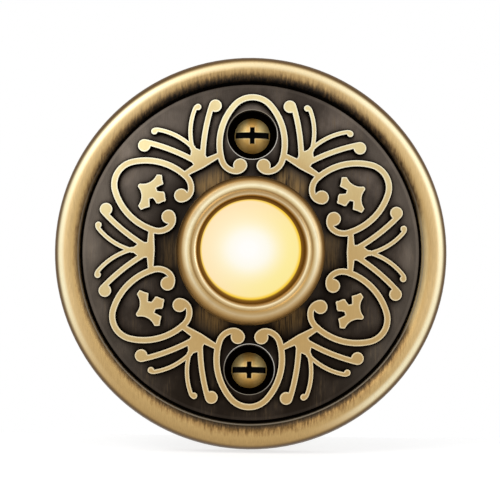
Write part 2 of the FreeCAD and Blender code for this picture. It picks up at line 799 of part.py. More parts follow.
def return_spring():
    """The coil spring between the base and the plunger's web.

    It is coiled in half turns, each tipped to climb and meeting the next on one tangent.
    """
    wire = "(Sizes.spring_wire_dia / 2)"
    bottom = f"({BASE_TOP} + {wire} + Sizes.hole_gap)"
    rise = f"({WEB_LEVEL} - {BASE_TOP} - Sizes.spring_wire_dia - 2 * Sizes.hole_gap)"
    count = round(2 * size("spring_turns"))
    climb = f"({rise} / {count})"
    half_turn = doc.addObject("Part::Torus", "spring_half_turn")
    half_turn.Angle3 = 180
    half_turn.Placement.Rotation = Rotation(Vector(0, 1, 0), 1)
    bind(
        half_turn,
        Radius1=f"sqrt({SPRING_MEAN} ^ 2 + ({climb} / 2) ^ 2)",
        Radius2=wire,
        Placement__Rotation__Angle=f"atan({climb} / (2 * {SPRING_MEAN}))",
    )
    coil = []
    for number in range(count):
        step = doc.addObject("Part::Compound", f"spring_step_{number + 1}")
        step.Links = [half_turn]
        step.Placement.Rotation = Rotation(Vector(0, 0, 1), 180 * (number % 2))
        bind(step, Placement__Base__z=f"{bottom} + {climb} * ({number} + 1 / 2)")
        coil.append(step)
    return joined("return_spring", *coil)


def switch_base():
    """The moulded base: a disc with an arm to each terminal and an ear to each base screw."""
    disc = padded(
        "base_disc",
        lambda sketch: circle_in(sketch, "0", "0", BASE_RADIUS),
        BASE_LEVEL,
        "Sizes.base_thickness",
    )
    pieces = [disc]
    arm = "(Sizes.arm_width / 2)"
    pieces.append(block("base_arm", f"(2 * {TERMINAL_AT})", f"(2 * {arm})", "Sizes.base_thickness", BASE_LEVEL))
    neck = block("base_neck", f"(2 * {EAR_AT})", "Sizes.ear_neck", "Sizes.base_thickness", BASE_LEVEL)
    neck.Placement.Rotation = Rotation(Vector(0, 0, 1), 45)
    neck_shift = "(Sizes.ear_neck / 2)"
    bind(
        neck,
        Placement__Base__x=f"({neck_shift} - {EAR_AT}) / sqrt(2)",
        Placement__Base__y=f"-({neck_shift} + {EAR_AT}) / sqrt(2)",
    )
    pieces.append(neck)
    for side, sign in (("right", ""), ("left", "-")):
        at = f"{sign}{TERMINAL_AT}"
        pieces.append(cylinder(f"{side}_arm_end", arm, BASE_LEVEL, "Sizes.base_thickness", at))
        at = f"{sign}{EAR_SIDE}"
        radius = "(Sizes.ear_dia / 2)"
        pieces.append(cylinder(f"{side}_ear", radius, BASE_LEVEL, "Sizes.base_thickness", at, at))
    blank = joined("base_blank", *pieces)
    depth = "(2 * Sizes.base_thickness)"
    below = f"({BASE_LEVEL} - Sizes.base_thickness / 2)"
    tools = [cylinder("board_recess", f"({BOARD_RADIUS} + Sizes.hole_gap)", BOARD_LEVEL, depth)]
    rivet = "(Sizes.rivet_shank_dia / 2 + Sizes.hole_gap)"
    shank = "(Sizes.terminal_shank_dia / 2 + Sizes.hole_gap)"
    base_screw = "(Sizes.base_screw_dia / 2 + Sizes.hole_gap)"
    pocket = "(Sizes.terminal_nut_width + 2 * Sizes.hole_gap)"
    pocket_level = f"({BASE_TOP} - Sizes.terminal_nut_pocket)"
    for side, sign in (("right", ""), ("left", "-")):
        for what, at, radius in (
            ("contact_hole", CONTACT_PITCH, rivet),
            ("board_rivet_hole", BOARD_RIVET_AT, rivet),
            ("terminal_hole", TERMINAL_AT, shank),
        ):
            tools.append(cylinder(f"{side}_{what}", radius, below, depth, f"{sign}{at}"))
        at = f"{sign}{EAR_SIDE}"
        tools.append(cylinder(f"{side}_base_screw_hole", base_screw, below, depth, at, at))
        recess = block(f"{side}_nut_pocket", pocket, pocket, depth, pocket_level)
        bind(recess, Placement__Base__x=f"{sign}{TERMINAL_AT} - {pocket} / 2")
        tools.append(recess)
    return cut("switch_base", blank, *tools)


def terminal_strip(name, sign):
    """A brass strip on the back of the base, from the lamp's rivet to the terminal."""
    terminal = f"{sign}{TERMINAL_AT}"
    contact = f"{sign}{CONTACT_PITCH}"
    rivet = f"{sign}{BOARD_RIVET_AT}"
    end = "(Sizes.strip_width / 2)"
    run = f"({TERMINAL_AT} - {BOARD_RIVET_AT})"
    bar = block(f"{name}_bar", run, "Sizes.strip_width", "Sizes.strip_thickness", STRIP_LEVEL)
    bind(bar, Placement__Base__x=rivet if sign == "" else terminal)
    pad = cylinder(f"{name}_pad", "(Sizes.strip_pad_dia / 2)", STRIP_LEVEL, "Sizes.strip_thickness", terminal)
    tail = cylinder(f"{name}_tail", end, STRIP_LEVEL, "Sizes.strip_thickness", rivet)
    blank = joined(f"{name}_blank", bar, pad, tail)
    below = f"({STRIP_LEVEL} - Sizes.strip_thickness / 2)"
    depth = "(2 * Sizes.strip_thickness)"
    rivet_radius = "(Sizes.rivet_shank_dia / 2 + Sizes.hole_gap)"
    screw_radius = "(Sizes.terminal_shank_dia / 2 + Sizes.hole_gap)"
    tools = [
        cylinder(f"{name}_lamp_hole", rivet_radius, below, depth, rivet),
        cylinder(f"{name}_contact_hole", rivet_radius, below, depth, contact),
        cylinder(f"{name}_screw_hole", screw_radius, below, depth, terminal),
    ]
    return cut(name, blank, *tools)


def rivet(name, at, seat, head_dia, head_height):
    """A rivet through the base and a strip, with a low head on the front and a flat one behind."""
    shank = "(Sizes.rivet_shank_dia / 2)"
    tail = "(Sizes.rivet_head_dia / 2)"
    head = f"({head_dia} / 2)"
    crown = f"(({head} ^ 2 + ({head_height} / 2) ^ 2) / {head_height})"
    tail_level = f"({STRIP_LEVEL} - Sizes.rivet_head_height)"
    body = turned(
        f"{name}_piece",
        [
            ("0", tail_level),
            (tail, tail_level),
            (tail, STRIP_LEVEL),
            (shank, STRIP_LEVEL),
            (shank, seat),
            (head, seat),
            (head, f"({seat} + {head_height} / 2)", "left", crown),
            ("0", f"({seat} + {head_height})"),
        ],
    )
    bind(body, Placement__Base__x=at)
    return pair(name, body, Vector(1, 0, 0))


def slotted_screw(name, head, head_top, head_height, shank, tip, slot_width, slot_depth):
    """A pan-head screw that points out of the wall, with a slot across its head."""
    under = f"({head_top} + {head_height})"
    edge = f"({head_height} * 0.35)"
    body = turned(
        f"{name}_turned",
        [
            ("0", head_top),
            (f"({head} - {edge})", head_top, "left", edge),
            (head, f"({head_top} + {edge})"),
            (head, under),
            (shank, under),
            (shank, f"({tip} - {edge})"),
            (f"({shank} - {edge} * 0.8)", tip),
            ("0", tip),
        ],
    )
    slot = block(f"{name}_slot", f"(3 * {head})", slot_width, f"(2 * {slot_depth})", f"({head_top} - {slot_depth})")
    return cut(f"{name}_piece", body, slot)


def terminal_screws():
    """The two screws that clamp the bell wires."""
    tip = f"({BASE_TOP} - Sizes.terminal_nut_pocket + Sizes.terminal_nut_thickness + Sizes.terminal_tip)"
    screw = slotted_screw(
        "terminal_screw",
        "(Sizes.terminal_head_dia / 2)",
        "Sizes.terminal_setback",
        "Sizes.terminal_head_height",
        "(Sizes.terminal_shank_dia / 2)",
        tip,
        "Sizes.terminal_slot_width",
        "Sizes.terminal_slot_depth",
    )
    bind(screw, Placement__Base__x=TERMINAL_AT)
    return pair("terminal_screws", screw, Vector(1, 0, 0))


def terminal_washers():
    """The washers between the terminal screws' heads and the strips."""
    hole = "(Sizes.terminal_shank_dia / 2 + Sizes.hole_gap)"
    outside = "(Sizes.terminal_washer_dia / 2)"
    body = turned(
        "terminal_washer",
        [(hole, WASHER_LEVEL), (outside, WASHER_LEVEL), (outside, STRIP_LEVEL), (hole, STRIP_LEVEL)],
    )
    bind(body, Placement__Base__x=TERMINAL_AT)
    return pair("terminal_washers", body, Vector(1, 0, 0))


def terminal_nuts():
    """The square nuts, each sunk into the front of an arm."""
    level = f"({BASE_TOP} - Sizes.terminal_nut_pocket)"
    width = "Sizes.terminal_nut_width"
    blank = block("terminal_nut_blank", width, width, "Sizes.terminal_nut_thickness", level)
    hole = cylinder(
        "terminal_nut_thread",
        "(Sizes.terminal_shank_dia / 2 + Sizes.hole_gap)",
        f"({level} - Sizes.terminal_nut_thickness / 2)",
        "(2 * Sizes.terminal_nut_thickness)",
    )
    nut = cut("terminal_nut", blank, hole)
    bind(nut, Placement__Base__x=TERMINAL_AT)
    return pair("terminal_nuts", nut, Vector(1, 0, 0))


def base_screws():
    """The two screws that hold the base to the cover's small bosses."""
    screw = slotted_screw(
        "base_screw",
        "(Sizes.base_screw_head_dia / 2)",
        f"({BASE_LEVEL} - Sizes.base_screw_head_height)",
        "Sizes.base_screw_head_height",
        "(Sizes.base_screw_dia / 2)",
        f"({BASE_TOP} + Sizes.base_screw_depth - Sizes.hole_gap)",
        "Sizes.base_screw_slot",
        "Sizes.base_screw_slot",
    )
    bind(screw, Placement__Base__x=EAR_SIDE, Placement__Base__y=EAR_SIDE)
    return pair("base_screws", screw, Vector(1, 1, 0))


def mounting_screws():
    """The two round-head screws that fix the cover to the wall."""
    head = "(Sizes.screw_head_dia / 2)"
    shank = "(Sizes.screw_shank_dia / 2)"
    thread = "(Sizes.screw_thread_dia / 2)"
    rise = "(Sizes.screw_head_height - Sizes.screw_head_edge)"
    dome = f"(({head} ^ 2 + {rise} ^ 2) / (2 * {rise}))"
    body = turned(
        "mounting_screw_turned",
        [
            ("0", "-Sizes.screw_reach"),
            (thread, "(Sizes.screw_point - Sizes.screw_reach)"),
            (thread, "0"),
            (shank, "0"),
            (shank, HEAD_SEAT),
            (head, HEAD_SEAT),
            (head, f"({HEAD_SEAT} + Sizes.screw_head_edge)", "left", dome),
            ("0", HEAD_TOP),
        ],
    )
    slot = block(
        "mounting_screw_slot",
        f"(3 * {head})",
        "Sizes.screw_slot_width",
        "(2 * Sizes.screw_slot_depth)",
        f"({HEAD_TOP} - Sizes.screw_slot_depth)",
    )
    cross = block(
        "mounting_screw_cross",
        "Sizes.screw_cross_width",
        "Sizes.screw_cross_length",
        "(2 * Sizes.screw_cross_depth)",
        f"({HEAD_TOP} - Sizes.screw_cross_depth)",
    )
    screw = cut("mounting_screw", body, slot, cross)
    bind(screw, Placement__Base__y=SCREW_PITCH)
    return pair("mounting_screws", screw, Vector(0, 1, 0))


def lamp_board():
    """The round board that carries the lamp and its two small parts."""

    def edge(sketch):
        circle_in(sketch, "0", "0", BOARD_RADIUS)

    body = padded("lamp_board", edge, BOARD_LEVEL, "Sizes.board_thickness")
    pin_at = "(Sizes.led_pin_spacing / 2)"
    lead_at = "(Sizes.part_lead_span / 2)"
    rivet_radius = "(Sizes.rivet_shank_dia / 2 + Sizes.hole_gap)"
    pin_radius = "(Sizes.led_pin_dia / 2 + Sizes.hole_gap)"
    lead_radius = "(Sizes.part_lead_dia / 2 + Sizes.hole_gap)"
    depth = "Sizes.board_thickness"
    rivets = [(BOARD_RIVET_AT, "0"), (f"-{BOARD_RIVET_AT}", "0")]
    drilled(body, "rivet_holes", rivets, rivet_radius, BOARD_LEVEL, depth)
    drilled(body, "pin_holes", [("0", pin_at), ("0", f"-{pin_at}")], pin_radius, BOARD_LEVEL, depth)
    leads = [(f"{across}{lead_at}", f"{up}{PART_AT}") for across in ("", "-") for up in ("", "-")]
    drilled(body, "lead_holes", leads, lead_radius, BOARD_LEVEL, depth)
    return body


def lamp_led():
    """The light-emitting diode in the middle of the board, standing on its two pins."""
    radius = "(Sizes.led_dia / 2)"
    collar = "(Sizes.led_collar_dia / 2)"
    level = f"({BOARD_TOP} + Sizes.hole_gap)"
    bulb = turned(
        "led_bulb",
        [
            ("0", level),
            (collar, level),
            (collar, f"({level} + Sizes.led_collar_height)"),
            (radius, f"({level} + Sizes.led_collar_height)"),
            (radius, f"({level} + Sizes.led_height - {radius})", "left", radius),
            ("0", f"({level} + Sizes.led_height)"),
        ],
    )
    pieces = [bulb]
    pin = "(Sizes.led_pin_dia / 2)"
    for side, sign in (("upper", ""), ("lower", "-")):
        up = f"{sign}(Sizes.led_pin_spacing / 2)"
        height = f"(Sizes.board_thickness + 2 * Sizes.hole_gap)"
        pieces.append(cylinder(f"{side}_pin", pin, BOARD_LEVEL, height, "0", up))
    return joined("lamp_led", *pieces)


def leaded_part(name, side, waist):
    """A small barrel on two bent leads, lying along the board on one side of the lamp."""
    radius = size("part_body_dia") / 2
    half = size("part_body_length") / 2
    lead = size("part_lead_dia") / 2
    span = size("part_lead_span") / 2
    up = side * read(PART_AT)
    foot = read(BOARD_LEVEL)
    level = read(BOARD_TOP) + size("hole_gap") + radius
    end = half * 0.3
    profile = [
        Vector(-half, 0, 0),
        Vector(-half, radius, 0),
        Vector(end - half, radius, 0),
        Vector(end - half, radius * waist, 0),
        Vector(half - end, radius * waist, 0),
        Vector(half - end, radius, 0),
        Vector(half, radius, 0),
        Vector(half, 0, 0),
    ]
    barrel = Part.Face(Part.makePolygon(profile + profile[:1]))
    barrel = barrel.revolve(Vector(0, 0, 0), Vector(1, 0, 0), 360)
    barrel.translate(Vector(0, up, level))
    bend = span - half - lead
    solid = barrel
    for sign in (1, -1):
        start = Vector(sign * (half - end), up, level)
        knee = Vector(sign * (span - bend), up, level)
        mid = bend * (1 - math.cos(math.radians(45)))
        middle = Vector(sign * (span - mid), up, level - mid)
        turn = Vector(sign * span, up, level - bend)
        stop = Vector(sign * span, up, foot)
        path = Part.Wire(
            [
                Part.LineSegment(start, knee).toShape(),
                Part.Arc(knee, middle, turn).toShape(),
                Part.LineSegment(turn, stop).toShape(),
            ]
        )
        section = Part.Wire(Part.Circle(start, Vector(1, 0, 0), lead).toShape())
        solid = solid.fuse(path.makePipeShell([section], True, False))
    made = doc.addObject("Part::Feature", name)
    made.Shape = solid.removeSplitter()
    return made


NODES = [
    cover(),
    bezel(),
    bezel_washer(),
    bezel_nut(),
    button_lens(),
    button_plunger(),
    contact_ring(),
    return_spring(),
    switch_base(),
    terminal_strip("terminal_strip_right", ""),
    terminal_strip("terminal_strip_left", "-"),
    rivet("contact_rivets", CONTACT_PITCH, BASE_TOP, "Sizes.contact_dia", "Sizes.contact_height"),
    rivet(
        "board_rivets",
        BOARD_RIVET_AT,
        BOARD_TOP,
        "Sizes.rivet_head_dia",
        "Sizes.rivet_head_height",
    ),
    terminal_screws(),
    terminal_washers(),
    terminal_nuts(),
    base_screws(),
    mounting_screws(),
    lamp_board(),
    lamp_led(),
    leaded_part("resistor", 1, 0.86),
    leaded_part("diode", -1, 1.0),
]

# Standing the finished pieces up against the wall
ON_THE_WALL = Placement(Vector(0, 0, 0), Rotation(Vector(1, 0, 0), 90))
doc.recompute()
for node in NODES:
    node.Label = node.Name
    node.Placement = ON_THE_WALL.multiply(node.Placement)
doc.recompute()

for thing in doc.Objects:
    if "Invalid" in thing.State or "Error" in thing.State:
        raise RuntimeError(f"{thing.Name} did not recompute: {thing.State}")
for node in NODES:
    if node.Shape.isNull() or not node.Shape.isValid() or not node.Shape.Solids:
        raise RuntimeError(f"{node.Label} has no valid solid")

os.makedirs("parts", exist_ok=True)
for node in NODES:
    node.Shape.exportStep(f"parts/{node.Label}.step")
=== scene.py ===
import math

import bmesh
import bpy
from mathutils import Matrix, Vector


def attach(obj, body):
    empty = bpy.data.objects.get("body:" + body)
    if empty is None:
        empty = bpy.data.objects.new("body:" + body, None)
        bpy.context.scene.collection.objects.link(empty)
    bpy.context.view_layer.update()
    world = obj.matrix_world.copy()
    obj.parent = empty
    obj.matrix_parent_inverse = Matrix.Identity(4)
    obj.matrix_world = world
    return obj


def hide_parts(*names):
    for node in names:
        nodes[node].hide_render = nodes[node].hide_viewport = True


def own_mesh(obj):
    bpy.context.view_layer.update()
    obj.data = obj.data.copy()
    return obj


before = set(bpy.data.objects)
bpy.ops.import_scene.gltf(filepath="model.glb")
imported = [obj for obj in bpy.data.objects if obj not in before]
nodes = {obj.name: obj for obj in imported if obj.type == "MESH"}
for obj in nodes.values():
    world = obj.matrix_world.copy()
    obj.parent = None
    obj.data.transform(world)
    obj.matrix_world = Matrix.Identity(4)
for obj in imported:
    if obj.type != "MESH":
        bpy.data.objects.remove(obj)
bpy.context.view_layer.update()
MM = 0.001

# Sizes of the cover that the looks follow, in millimetres
COVER_RADIUS = 31.75
RIM_RADIUS = 30.78
CREST_RADIUS = 30.42
GROOVE_RADIUS = 27.65
FIELD_RADIUS = 27.25
DOME_RADIUS = 150.0
HUB_RADIUS = 12.1
HUB_FRONT = 7.4
COUNTERBORE_RADIUS = 4.03

# Sizes of the bezel and the lens
BEZEL_RADIUS = 12.0
VALLEY_RADIUS = 9.75
LIP_RADIUS = 9.2
BORE_RADIUS = 8.65
LENS_RADIUS = 8.13

# Sizes of the fixing screws, which stand this far above and below the middle
SCREW_PITCH = 19.05
HEAD_RADIUS = 2.885
HEAD_SEAT = 3.5
SLOT_HALF = 0.47
CROSS_HALF = 0.35
CROSS_REACH = 1.36
THREAD_RADIUS = 1.38
THREAD_LENGTH = 15.5
THREAD_POINT = 3.2
THREAD_PITCH = 1.25
THREAD_RUN_IN = 0.8
THREAD_DEPTH = 0.3
THREAD_FLANKS = 2.6
POINTS_AROUND = 28
ROWS_PER_TURN = 10
SHARP_DEGREES = 32

# Half the length of the resistor's and the diode's body, and of a colour band
BARREL_HALF = 1.66
BAND_HALF = 0.13

# Camera and framing, from the photograph's outline in its 500 px frame
PHOTO_SIZE = 500
MM_PER_PX = 0.16253
CAMERA_DISTANCE = 0.9
CAMERA_ELEVATION = -4.2
CAMERA_ROLL = 0.78
OUTLINE_CENTRE = (250.7, 253.6)
MIDDLE_DEPTH = 2.5
SENSOR_WIDTH = 36.0
CLIP_END = 10.0

# Floor and light: each pair is the level for rays that light the part and for rays that show the surroundings
WORLD_LEVELS = (0.45, 1.0)
FLOOR_LEVELS = (0.12, 0.735)
FLOOR_GREY = 0.42
FLOOR_TILT = 8.5
FLOOR_HALF = 0.5
FLOOR_NEAR = -0.5
FLOOR_FAR = 0.02
LAMPS = (
    ("key", (-0.42, -0.55, 0.50), 0.50, 1.7),
    ("right_wrap", (0.60, -0.42, 0.22), 0.44, 0.6),
    ("top", (0.05, -0.34, 0.62), 0.44, 0.4),
)


def rgb(red, green, blue):
    """A linear colour from the eye's 0 to 255 values."""
    return tuple((value / 255) ** 2.2 for value in (red, green, blue)) + (1.0,)


WHITE = rgb(255, 255, 255)
# Near black used as painted shade: contact shadows at the foot of the relief and the dark of the groove
DEEP_SHADE = rgb(5, 4, 3)


def colour_socket(sockets, name):
    """The colour socket of that name, since a mix node has others that share it."""
    return next(socket for socket in sockets if socket.name == name and socket.type == "RGBA")


class Paint:
    """Node trees in a few words: each call adds a node and gives back its output.

    Places are in millimetres: x to the right, z up, depth out of the wall, radius from the push axis.
    """

    def __init__(self, name):
        self.material = bpy.data.materials.new(name)
        self.material.use_nodes = True
        self.tree = self.material.node_tree
        self.shader = self.tree.nodes["Principled BSDF"]
        place = self.tree.nodes.new("ShaderNodeTexCoord")
        scaled = self.tree.nodes.new("ShaderNodeVectorMath")
        scaled.operation = "SCALE"
        scaled.inputs["Scale"].default_value = 1 / MM
        self.feed(scaled.inputs[0], place.outputs["Object"])
        self.point = scaled.outputs[0]
        parts = self.tree.nodes.new("ShaderNodeSeparateXYZ")
        self.feed(parts.inputs[0], self.point)
        self.x, y, self.z = parts.outputs
        self.depth = self.math("MULTIPLY", y, -1.0)
        self.radius = self.length(self.x, self.z)
        facing = self.tree.nodes.new("ShaderNodeSeparateXYZ")
        self.feed(facing.inputs[0], place.outputs["Normal"])
        self.behind = self.ease(facing.outputs[1], 0.25, 0.6)

    def feed(self, socket, value):
        """Links the value to the socket, or sets it there if it is a constant."""
        if isinstance(value, bpy.types.NodeSocket):
            self.tree.links.new(value, socket)
        else:
            socket.default_value = value

    def math(self, operation, *values):
        node = self.tree.nodes.new("ShaderNodeMath")
        node.operation = operation
        for socket, value in zip(node.inputs, values):
            self.feed(socket, value)
        return node.outputs[0]

    def length(self, across, up):
        """Distance from an axis that runs front to back."""
        squares = self.math("MULTIPLY_ADD", across, across, self.math("MULTIPLY", up, up))
        return self.math("SQRT", squares)

    def screw_up(self):
        """Height above the middle of the nearer fixing screw, mirrored for the lower one."""
        return self.math("SUBTRACT", self.math("ABSOLUTE", self.z), SCREW_PITCH)

    def product(self, *values):
        """All the values multiplied together."""
        result = values[0]
        for value in values[1:]:
            result = self.math("MULTIPLY", result, value)
        return result

    def ease(self, value, low, high, start=0.0, end=1.0):
        """A smooth change from start to end as the value goes from low to high."""
        node = self.tree.nodes.new("ShaderNodeMapRange")
        node.interpolation_type = "SMOOTHSTEP"
        for socket, number in zip(node.inputs, (value, low, high, start, end)):
            self.feed(socket, number)
        return node.outputs[0]

    def band(self, value, middle, half, soft):
        """1 inside a band round the middle value and 0 outside."""
        away = self.math("ABSOLUTE", self.math("SUBTRACT", value, middle))
        return self.ease(away, half, half + soft, 1.0, 0.0)

    def ramp(self, value, *stops):
        """A colour that runs through the stops, each a place and a colour, as the value grows."""
        low, high = stops[0][0], stops[-1][0]
        share = self.tree.nodes.new("ShaderNodeMapRange")
        for socket, number in zip(share.inputs, (value, low, high)):
            self.feed(socket, number)
        node = self.tree.nodes.new("ShaderNodeValToRGB")
        self.feed(node.inputs[0], share.outputs[0])
        marks = node.color_ramp.elements
        for place, colour in stops[1:-1]:
            marks.new((place - low) / (high - low)).color = colour
        marks[0].color = stops[0][1]
        marks[len(stops) - 1].color = stops[-1][1]
        return node.outputs[0]

    def lean(self, reach):
        """0 on flats, and more where an edge within reach turns the bevelled normal away."""
        bevel = self.tree.nodes.new("ShaderNodeBevel")
        bevel.samples = 6
        bevel.inputs["Radius"].default_value = reach * MM
        own = self.tree.nodes.new("ShaderNodeNewGeometry")
        dot = self.tree.nodes.new("ShaderNodeVectorMath")
        dot.operation = "DOT_PRODUCT"
        self.feed(dot.inputs[0], bevel.outputs[0])
        self.feed(dot.inputs[1], own.outputs["Normal"])
        return self.math("SUBTRACT", 1.0, dot.outputs["Value"])

    def shelter(self, reach):
        """1 in the open and less where walls stand around within reach."""
        node = self.tree.nodes.new("ShaderNodeAmbientOcclusion")
        node.samples = 8
        node.only_local = True
        node.inputs["Distance"].default_value = reach * MM
        return node.outputs["AO"]

    def noise(self, stretch, detail, roughness):
        """Noise whose stretch is in repeats per millimetre across, front to back and up."""
        place = self.tree.nodes.new("ShaderNodeVectorMath")
        place.operation = "MULTIPLY"
        self.feed(place.inputs[0], self.point)
        place.inputs[1].default_value = stretch
        node = self.tree.nodes.new("ShaderNodeTexNoise")
        self.feed(node.inputs["Vector"], place.outputs[0])
        node.inputs["Scale"].default_value = 1.0
        node.inputs["Detail"].default_value = detail
        node.inputs["Roughness"].default_value = roughness
        return node.outputs["Fac"]

    def mix(self, share, first, second):
        """The first colour where the share is 0 and the second where it is 1."""
        node = self.tree.nodes.new("ShaderNodeMix")
        node.data_type = "RGBA"
        self.feed(node.inputs["Factor"], share)
        self.feed(colour_socket(node.inputs, "A"), first)
        self.feed(colour_socket(node.inputs, "B"), second)
        return colour_socket(node.outputs, "Result")

    def bump(self, height, strength, distance):
        node = self.tree.nodes.new("ShaderNodeBump")
        node.inputs["Strength"].default_value = strength
        node.inputs["Distance"].default_value = distance * MM
        self.feed(node.inputs["Height"], height)
        self.feed(self.shader.inputs["Normal"], node.outputs[0])

    def set(self, **values):
        """Feeds the surface shader's sockets, with an underline for each space in a name."""
        for name, value in values.items():
            self.feed(self.shader.inputs[name.replace("_", " ")], value)


class CoverPaint(Paint):
    """Antique brass: dark brushed patina on the field, rubbed bright on the relief and the rim bead, with
    painted light and shade over both.
    """

    def __init__(self):
        super().__init__("antique_brass")
        self.streaks = self.noise((4.0, 1.0, 0.3), 4.0, 0.6)
        self.fine = self.noise((14.0, 2.0, 0.7), 3.0, 0.6)
        self.clouds = self.noise((0.22, 0.22, 0.16), 3.0, 0.55)
        # From -1 to 1 round the cover: 1 furthest right, and 1 furthest up
        self.right = self.math("DIVIDE", self.x, self.radius)
        self.above = self.math("DIVIDE", self.z, self.radius)
        self.side = self.math("ABSOLUTE", self.right)

    def on_relief(self):
        """1 on the tops of the relief, by their height over the domed field."""
        centre = HUB_FRONT - math.sqrt(DOME_RADIUS**2 - HUB_RADIUS**2)
        inwards = self.math("MULTIPLY", self.radius, -1.0)
        dome = self.math("SQRT", self.math("MULTIPLY_ADD", self.radius, inwards, DOME_RADIUS**2))
        height = self.math("SUBTRACT", self.depth, self.math("ADD", dome, centre))
        inside = self.ease(self.radius, GROOVE_RADIUS - 0.12, GROOVE_RADIUS + 0.06, 1.0, 0.0)
        return self.product(self.ease(height, 0.6, 0.68), inside)

    def rubbed(self):
        """Six worn patches round the hub, fainter at the sides."""
        turn = self.math("ARCTAN2", self.z, self.x)
        sixfold = self.ease(self.math("COSINE", self.math("MULTIPLY", turn, 6.0)), -0.1, 0.9)
        beside = self.ease(self.side, 0.7, 1.0, 0.9, 0.4)
        near = self.ease(self.radius, 12.4, 15.4, 1.0, 0.0)
        worn = self.math("MULTIPLY_ADD", self.clouds, 0.8, -0.5)
        worn = self.math("MULTIPLY_ADD", self.streaks, 1.2, worn)
        return self.product(sixfold, beside, near, self.ease(worn, 0.2, 0.76))

    def field(self):
        """The ground of the relief: cloudy brown black patina, with painted light that makes it paler
        upwards, painted shade that makes it darkest at the hub and a painted contact shadow by the walls.
        """
        # Painted light: the patina is drawn paler towards the top, where the light falls
        lit_upwards = self.ease(self.z, -25.0, 23.0)
        patina = self.mix(lit_upwards, rgb(44, 38, 33), rgb(80, 72, 66))
        cloudy = self.mix(lit_upwards, rgb(62, 54, 47), rgb(112, 101, 92))
        patina = self.mix(self.ease(self.clouds, 0.4, 0.68), patina, cloudy)
        brushed = self.product(self.ease(self.streaks, 0.5, 0.75), self.ease(self.clouds, 0.4, 0.6), 0.45)
        patina = self.mix(brushed, patina, rgb(112, 94, 70))

        # Painted sheen: the field is paler towards the top left and at the outer sides
        upper_left_sheen = self.ease(self.math("SUBTRACT", self.above, self.right), 0.4, 1.4, 0.0, 0.14)
        upper_left_sheen = self.product(upper_left_sheen, self.ease(self.radius, 15.0, 21.0))
        patina = self.mix(upper_left_sheen, patina, rgb(168, 156, 142))
        outer_sides_sheen = self.ease(self.side, 0.45, 0.9, 0.0, 0.2)
        outer_sides_sheen = self.product(self.ease(self.radius, 23.6, 25.8), outer_sides_sheen)
        patina = self.mix(outer_sides_sheen, patina, rgb(156, 144, 130))
        # Painted shade: darker along the outer top of the field
        outer_top_shade = self.ease(self.radius, 23.0, 25.5, 0.0, 0.45)
        outer_top_shade = self.product(self.ease(self.above, 0.78, 1.0), outer_top_shade)
        patina = self.mix(outer_top_shade, patina, rgb(40, 35, 31))

        hub_shade = rgb(10, 8, 6)
        # Painted shade: darker where the relief walls stand close, and towards the hub
        field = self.mix(self.ease(self.shelter(3.0), 0.6, 1.0), rgb(30, 25, 21), patina)
        field = self.mix(self.ease(self.radius, 14.6, 19.0, 0.5, 0.0), field, hub_shade)
        # Rubbed patches of wear round the hub, their colour painted lighter upwards
        field = self.mix(self.rubbed(), field, self.mix(lit_upwards, rgb(112, 85, 51), rgb(176, 142, 94)))
        field = self.mix(self.ease(self.radius, 12.6, 18.0, 0.3, 0.0), field, hub_shade)
        # Painted contact shadow, near black, at the foot of the relief walls
        return self.mix(self.ease(self.shelter(0.55), 0.55, 0.95), DEEP_SHADE, field)

    def with_wells(self, field):
        """The field with screw wells painted black as shade, each in a thin ring with a painted highlight
        that is brightest at the lower right.
        """
        screw = self.length(self.x, self.screw_up())
        low_right = self.math("MULTIPLY_ADD", self.x, 0.6, self.math("SUBTRACT", 0.0, self.screw_up()))
        # Painted highlight on the ring round each counterbore, brightest at the lower right
        tone = self.mix(self.ease(low_right, -3.0, 3.0), rgb(140, 132, 118), rgb(206, 200, 190))
        field = self.mix(self.band(screw, COUNTERBORE_RADIUS + 0.04, 0.03, 0.06), field, tone)
        # Painted shade: the counterbore drawn near black
        well_shade = self.ease(screw, COUNTERBORE_RADIUS - 0.02, COUNTERBORE_RADIUS + 0.02, 1.0, 0.0)
        return self.mix(well_shade, field, rgb(7, 5, 4))

    def relief(self):
        """The scrolls: pale brass on top with painted light towards the top left, a painted highlight along
        the edges and brown on the walls.
        """
        # Painted light: the tops are paler towards the top left
        lit_top_left = self.ease(self.math("MULTIPLY_ADD", self.x, -0.35, self.z), -24.0, 26.0)
        tops = self.mix(lit_top_left, rgb(184, 153, 102), rgb(228, 212, 160))
        tops = self.mix(self.ease(self.radius, 14.0, 22.0, 0.65, 0.0), tops, rgb(184, 149, 94))
        tops = self.mix(self.ease(self.clouds, 0.4, 0.65, 0.0, 0.3), tops, rgb(190, 156, 102))
        lean = self.lean(0.46)
        # Painted highlight along the top edges of the scrolls
        edges = self.mix(lit_top_left, rgb(242, 224, 184), rgb(255, 252, 230))
        tops = self.mix(self.ease(lean, 0.015, 0.07, 0.0, 0.95), tops, edges)
        return self.mix(self.ease(lean, 0.5, 0.75, 0.0, 0.7), tops, rgb(74, 56, 34))

